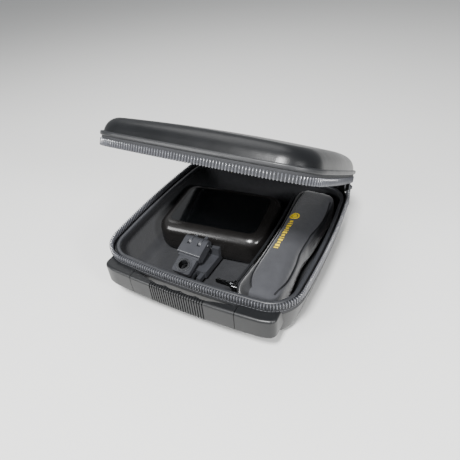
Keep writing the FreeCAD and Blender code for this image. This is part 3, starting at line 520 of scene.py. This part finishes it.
def lidCopy(piece, name):
    # the same run for the lid: mirrored in the parting plane, then swung open
    other = piece.copy()
    other.data = piece.data.copy()
    other.name = other.data.name = name
    bpy.context.scene.collection.objects.link(other)
    upsideDown = Matrix.Diagonal((1, 1, -1, 1))
    other.data.transform(Matrix.Translation((0, 0, 2 * case["partingHeight"])) @ upsideDown)
    other.data.flip_normals()
    swingLid(other)
    return other


# a coil zip, one loop every 2.5 mm, each loop a rounded bar that wraps the tape's edge
zipTeeth = {"pitch": 2.5 * mm, "thick": 1.3 * mm, "across": 3.0 * mm, "tall": 6.0 * mm, "inset": 1.1 * mm,
            "backStop": 84 * mm, "top": 49.75 * mm, "loopRound": 0.9 * mm, "edgeRound": 0.3 * mm}


def makeTeeth(name):
    bpy.ops.mesh.primitive_cube_add(size=1)
    teeth = newest(name)
    teeth.scale = (zipTeeth["thick"], zipTeeth["across"], zipTeeth["tall"])
    bpy.ops.object.transform_apply(scale=True)
    editSelected(teeth, "EDGE", lambda a, b: abs(a.x - b.x) < 1e-7,
                 lambda: bpy.ops.mesh.bevel(offset=zipTeeth["loopRound"], segments=2, affect="EDGES"))
    addModifier(teeth, "BEVEL", width=zipTeeth["edgeRound"], segments=1, limit_method="ANGLE",
                angle_limit=math.radians(50))
    applyAll(teeth)
    path = outlinePoints(zipTeeth["inset"], 1.0 * mm, zipTeeth["backStop"])
    height = zipTeeth["top"] - zipTeeth["tall"] / 2
    return runAlong(teeth, path, zipTeeth["pitch"], height, zipTeeth["thick"])


trayTeeth = makeTeeth("trayZipTeeth")
lidTeeth = lidCopy(trayTeeth, "lidZipTeeth")
dress(trayTeeth, finish["coil"], "tray", ["tray_zip_chain"])
dress(lidTeeth, finish["coil"], "lid", ["lid_zip_chain"])
print("zip teeth made:", len(trayTeeth.data.polygons), "faces a side")

# the tape's woven edge stands between the loops of the coil, so it is what shows dark behind them
coilCore = {"inset": 0.75 * mm, "thick": 0.7 * mm, "low": 43.2 * mm, "high": 49.2 * mm, "backStop": 84 * mm}


def makeCoilCore(name):
    outer = outlinePoints(coilCore["inset"], 2.5 * mm, coilCore["backStop"])
    rows = [coilCore["low"], (coilCore["low"] + coilCore["high"]) / 2, coilCore["high"]]
    verts = [(p.x, p.y, z) for z in rows for p in outer]
    count = len(outer)
    faces = [(r * count + i + 1, r * count + i, (r + 1) * count + i, (r + 1) * count + i + 1)
             for r in range(len(rows) - 1) for i in range(count - 1)]
    mesh = bpy.data.meshes.new(name)
    mesh.from_pydata(verts, [], faces)
    core = bpy.data.objects.new(name, mesh)
    bpy.context.scene.collection.objects.link(core)
    addModifier(core, "SOLIDIFY", thickness=coilCore["thick"], offset=-1)
    applyAll(core)
    faceOutward(core)
    smoothByAngle(core, 40)
    return core


trayCore = makeCoilCore("trayCoilEdge")
lidCore = lidCopy(trayCore, "lidCoilEdge")
dress(trayCore, finish["tape"], "tray")
dress(lidCore, finish["tape"], "lid")

# lock stitches along the tray's tape, 3.2 mm apart
stitching = {"pitch": 3.2 * mm, "long": 2.3 * mm, "thick": 0.5 * mm, "inset": 0.5 * mm, "height": 41.9 * mm,
             "endInset": 0.08 * mm, "endBulge": 0.1 * mm}


def makeStitches(name):
    bpy.ops.mesh.primitive_cylinder_add(vertices=6, radius=stitching["thick"] / 2, depth=stitching["long"],
                                        rotation=(0, math.pi / 2, 0))
    thread = newest(name)
    bpy.ops.object.transform_apply(rotation=True)
    editSelected(thread, "FACE", lambda face: abs(face.normal.x) > 0.9,
                 lambda: bpy.ops.mesh.inset(thickness=stitching["endInset"], depth=stitching["endBulge"]))
    path = outlinePoints(stitching["inset"], 1.5 * mm)
    path.append(path[0].copy())
    return runAlong(thread, path, stitching["pitch"], stitching["height"], stitching["long"])


trayStitches = makeStitches("trayTapeStitches")
dress(trayStitches, finish["thread"], "tray")
print("rim dressed")

# ---- hinge fabric, one strip that bends between tray and lid

# proud is how far it stands off the wall, bend how far from the hinge line it bulges, and within roll of that
# line it is turned half as far as the lid
hinge = {"halfWidth": 68 * mm, "low": 38.6 * mm, "high": 58.0 * mm, "thick": 0.8 * mm, "columns": 48,
         "rows": 26, "wallInset": 0.6 * mm, "proud": 0.75 * mm, "bend": 3.2 * mm, "roll": 1.6 * mm,
         "axisInset": 0.2 * mm, "blendReach": 2.5 * mm}


def backWallY(x, inset):
    radius = case["sideRadius"] - inset
    return case["half"] - case["sideRadius"] + math.sqrt(radius**2 - x**2)


def makeHingeFabric():
    columns, rows = hinge["columns"], hinge["rows"]
    tall = hinge["high"] - hinge["low"]
    turns = {"rolled": lidTurn(0.5), "lid": lidTurn()}
    verts = []
    for row in range(rows + 1):
        z = hinge["low"] + tall * row / rows
        above = z - case["partingHeight"]
        bulge = math.exp(-((above / hinge["bend"]) ** 2))
        for i in range(columns + 1):
            x = -hinge["halfWidth"] + 2 * hinge["halfWidth"] * i / columns
            y = backWallY(x, hinge["wallInset"]) + hinge["proud"]
            y += (case["hingeY"] - hinge["axisInset"] - y) * bulge
            point = Vector((x, y, z))
            if above > hinge["roll"]:
                point = turns["lid"] @ point
            elif above > -hinge["roll"]:
                point = turns["rolled"] @ point
            verts.append(point)
    wide = columns + 1
    faces = [(r * wide + i, r * wide + i + 1, (r + 1) * wide + i + 1, (r + 1) * wide + i)
             for r in range(rows) for i in range(columns)]
    mesh = bpy.data.meshes.new("backHingeFabric")
    mesh.from_pydata([tuple(v) for v in verts], [], [f[::-1] for f in faces])
    strip = bpy.data.objects.new("backHingeFabric", mesh)
    bpy.context.scene.collection.objects.link(strip)
    addModifier(strip, "SMOOTH", factor=0.5, iterations=6)
    addModifier(strip, "SOLIDIFY", thickness=hinge["thick"], offset=-1)
    applyAll(strip)
    faceOutward(strip)
    smoothByAngle(strip, 40)
    dress(strip, finish["tape"], None, ["tray_hinge_fabric", "lid_hinge_fabric"])
    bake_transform(strip)


makeHingeFabric()
print("hinge fabric made")

# ---- accessory pouch

# paintedShadeLap is in mm: how far left of the stitched line the painted shade on the strip begins
pouch = {"voxel": 3.5 * mm, "start": 1.2 * mm, "pressure": 4.0, "frames": 20, "cap": 2.2 * mm,
         "seam": 0.75 * mm, "floorGap": 0.1 * mm, "seamDepth": 1.3 * mm, "seamReach": 2.2 * mm,
         "seamsAbove": 30 * mm, "seamLift": 0.25 * mm, "paintedShadeLap": 0.2, "fill": 0.7}
# how the form is drawn in, in mm and shares of its width: front end, waist and the drop at the left strip
taper = {"axisX": 38.5, "backY": 10, "length": 95, "narrow": 0.10, "power": 0.7,
         "waist": 0.05, "waistY": -16, "waistLong": 26, "topFrom": 20, "topOver": 25,
         "drop": 2.6, "dropX": 51, "dropWide": 9, "dropPower": 1.4}


def meshCopy(node, name):
    # a welded copy of a CAD node's mesh
    piece = cadNodes[node].copy()
    piece.data = cadNodes[node].data.copy()
    piece.name = piece.data.name = name
    for key in list(piece.keys()):
        del piece[key]
    bpy.context.scene.collection.objects.link(piece)
    piece.hide_render = False
    piece.hide_viewport = False
    selectOnly(piece)
    bpy.ops.object.mode_set(mode="EDIT")
    bpy.ops.mesh.select_all(action="SELECT")
    bpy.ops.mesh.remove_doubles(threshold=1e-6)
    bpy.ops.mesh.normals_make_consistent(inside=False)
    bpy.ops.object.mode_set(mode="OBJECT")
    return piece


def puff(piece):
    # neoprene over foam: the form is shrunk a little, blown up as cloth, and held near its start
    addModifier(piece, "REMESH", mode="VOXEL", voxel_size=pouch["voxel"])
    applyAll(piece)
    low = min(v.co.z for v in piece.data.vertices)
    for vertex in piece.data.vertices:
        vertex.co -= vertex.normal * pouch["start"]
    piece.data.update()
    before = [v.co.copy() for v in piece.data.vertices]
    cloth = addModifier(piece, "CLOTH")
    cloth.settings.use_pressure = True
    cloth.settings.uniform_pressure_force = pouch["pressure"]
    cloth.settings.effector_weights.gravity = 0
    cloth.settings.quality = 6
    cloth.collision_settings.use_collision = False
    scene = bpy.context.scene
    for step in range(1, pouch["frames"] + 1):
        scene.frame_set(step)
    selectOnly(piece)
    bpy.ops.object.modifier_apply(modifier=cloth.name)
    scene.frame_set(1)
    for vertex, start in zip(piece.data.vertices, before):
        move = vertex.co - start
        if move.length > pouch["cap"]:
            vertex.co = start + move.normalized() * pouch["cap"]
        vertex.co.z = max(vertex.co.z, low + pouch["floorGap"])
    addModifier(piece, "SMOOTH", factor=0.5, iterations=3)
    addModifier(piece, "SUBSURF", levels=1, render_levels=1)
    applyAll(piece)


def clamped(share):
    return max(0, min(1, share))


def shapePouch(piece):
    # draws the front end in to the right of the zip and slopes the top down to the left strip
    for vertex in piece.data.vertices:
        x, y, z = (c / mm for c in vertex.co)
        front = clamped((taper["backY"] - y) / taper["length"])
        waist = math.exp(-(((y - taper["waistY"]) / taper["waistLong"]) ** 2))
        width = 1 - taper["narrow"] * front ** taper["power"] - taper["waist"] * waist
        x = taper["axisX"] + (x - taper["axisX"]) * width
        nearTop = clamped((z - taper["topFrom"]) / taper["topOver"])
        nearStrip = clamped((taper["dropX"] - x) / taper["dropWide"]) ** taper["dropPower"]
        z -= nearTop * taper["drop"] * nearStrip
        vertex.co = Vector((x, y, z)) * mm
    piece.data.update()


def topOf(piece, x, y):
    # the height of a piece's top at a point, and its normal there
    hit, at, normal, _ = piece.ray_cast(Vector((x, y, 0.2)), Vector((0, 0, -1)))
    return (at, normal) if hit else (None, None)


def onTop(piece, points, lift=0.0):
    found = []
    for x, y in points:
        at, normal = topOf(piece, x * mm, y * mm)
        if at is not None:
            found.append(at + normal * lift)
    return found


def smoothLine(points, steps=10):
    # a line of close points through the given ones, as a Catmull-Rom curve
    def between(a, b, c, d, t):
        square = 2 * a - 5 * b + 4 * c - d
        cube = 3 * b - a - 3 * c + d
        return 0.5 * (2 * b + (c - a) * t + square * t**2 + cube * t**3)

    curve = []
    for i in range(len(points) - 1):
        around = [points[max(0, min(len(points) - 1, i + k))] for k in (-1, 0, 1, 2)]
        for step in range(steps):
            curve.append(tuple(between(*values, step / steps) for values in zip(*around)))
    return curve + [points[-1]]


def tubeOn(name, points, radius):
    curveData = bpy.data.curves.new(name, "CURVE")
    curveData.dimensions = "3D"
    curveData.bevel_depth = radius
    curveData.bevel_resolution = 1
    curveData.use_fill_caps = True
    line = curveData.splines.new("POLY")
    line.points.add(len(points) - 1)
    for point, at in zip(line.points, points):
        point.co = (*at, 1)
    curve = bpy.data.objects.new(name, curveData)
    bpy.context.scene.collection.objects.link(curve)
    selectOnly(curve)
    bpy.ops.object.convert(target="MESH")
    piece = newest(name)
    smoothByAngle(piece, 60)
    return piece


def pressSeam(piece, line, depth, reach):
    # sinks the foam on both sides of a sewn line
    points = [Vector(p) for p in line]
    for vertex in piece.data.vertices:
        if vertex.co.z < pouch["seamsAbove"]:
            continue
        gap = min((vertex.co - p).length for p in points)
        if gap < reach * 2.5:
            vertex.co.z -= depth * math.exp(-((gap / reach) ** 2))
    piece.data.update()


# sewn lines on the pouch's top, as X and Y in mm: beside the zip strip, and along the outer edge
pouchSeams = {
    "left": [(53, -78), (49.5, -70), (47.6, -58), (47.4, -32), (47.6, -4), (46.6, 24), (45.6, 50), (47, 70)],
    "right": [(73.5, -77), (76.5, -60), (76.0, -36), (74.5, -16), (76.0, 6), (78.5, 26), (80, 46), (79, 66)],
}
# a plain mark of a disc and bars, with no letters
mark = {"disc": (54.6, 24.0), "radius": 4.9, "start": (54.7, 15.6), "end": (55.0, -28.0), "height": 4.2,
        "bars": [2.6, 1.1, 2.6, 2.0, 1.1, 2.6, 2.6, 1.1, 2.6, 2.0, 2.6, 1.1], "thick": 0.22 * mm,
        "lift": 0.12 * mm, "dropFrom": 60 * mm, "missHeight": 45 * mm}


def layOn(piece, under, lift):
    # drops a flat piece onto what lies under it
    for vertex in piece.data.vertices:
        at, normal = topOf(under, vertex.co.x, vertex.co.y)
        vertex.co.z = (at.z if at is not None else mark["missHeight"]) + lift
    piece.data.update()


def makeMark(under):
    made = []
    x, y = mark["disc"]
    for name, outer, hole in (("ring", 1.0, 0.74), ("dot", 0.5, 0.0)):
        bpy.ops.mesh.primitive_circle_add(vertices=40, radius=mark["radius"] * outer * mm, fill_type="NGON",
                                          location=(x * mm, y * mm, mark["dropFrom"]))
        disc = newest(name)
        bpy.ops.object.transform_apply(location=True)
        bpy.ops.object.mode_set(mode="EDIT")
        bpy.ops.mesh.select_all(action="SELECT")
        if hole:
            bpy.ops.mesh.inset(thickness=mark["radius"] * (outer - hole) * mm)
            bpy.ops.mesh.delete(type="FACE")
        else:
            bpy.ops.mesh.inset(thickness=mark["radius"] * outer * 0.5 * mm)
        bpy.ops.object.mode_set(mode="OBJECT")
        made.append(disc)
    start, end = Vector(mark["start"]), Vector(mark["end"])
    along = (end - start).normalized()
    across = Vector((-along.y, along.x))
    gap = ((end - start).length - sum(mark["bars"])) / (len(mark["bars"]) - 1)
    at = 0.0
    for number, wide in enumerate(mark["bars"]):
        tall = mark["height"] * (1.0 if number % 3 else 0.72)
        middle = start + along * (at + wide / 2)
        bpy.ops.mesh.primitive_grid_add(x_subdivisions=4, y_subdivisions=3, size=1)
        bar = newest("bar")
        bar.scale = (tall * mm, wide * mm, 1)
        bar.rotation_euler.z = math.atan2(across.y, across.x)
        bar.location = (middle.x * mm, middle.y * mm, mark["dropFrom"])
        bpy.ops.object.transform_apply(location=True, rotation=True, scale=True)
        made.append(bar)
        at += wide + gap
    bpy.ops.object.select_all(action="DESELECT")
    for piece in made:
        piece.select_set(True)
    bpy.context.view_layer.objects.active = made[0]
    bpy.ops.object.join()
    printed = newest("pouchMark")
    layOn(printed, under, mark["lift"])
    addModifier(printed, "SOLIDIFY", thickness=mark["thick"], offset=0)
    applyAll(printed)
    return printed


def makePouch():
    body = meshCopy("accessory_pouch", "neoprenePouch")
    puff(body)
    shapePouch(body)
    lines = {side: onTop(body, smoothLine(points)) for side, points in pouchSeams.items()}
    for line in lines.values():
        pressSeam(body, line, pouch["seamDepth"], pouch["seamReach"])
    selectOnly(body)
    bpy.ops.object.shade_smooth()
    dress(body, finish["neoprene"], "pouch", ["accessory_pouch"])
    # faces left of the stitched line take the darker neoprene copy, painted shade on the strip
    body.data.materials.append(finish["stripPaintedShade"])
    stitched = smoothLine(pouchSeams["left"])
    for face in body.data.polygons:
        x, y, z = (c / mm for c in face.center)
        edge = min(stitched, key=lambda p: abs(p[1] - y))
        face.material_index = 1 if x < edge[0] - pouch["paintedShadeLap"] else 0
    for side, points in pouchSeams.items():
        line = onTop(body, smoothLine(points), pouch["seamLift"])
        seam = tubeOn(side + "PouchPiping", line, pouch["seam"])
        dress(seam, finish["edging"], "pouch")
    dress(makeMark(body), finish["ink"], "pouch")
    return body


neoprenePouch = makePouch()
print("pouch made:", len(neoprenePouch.data.polygons), "faces")
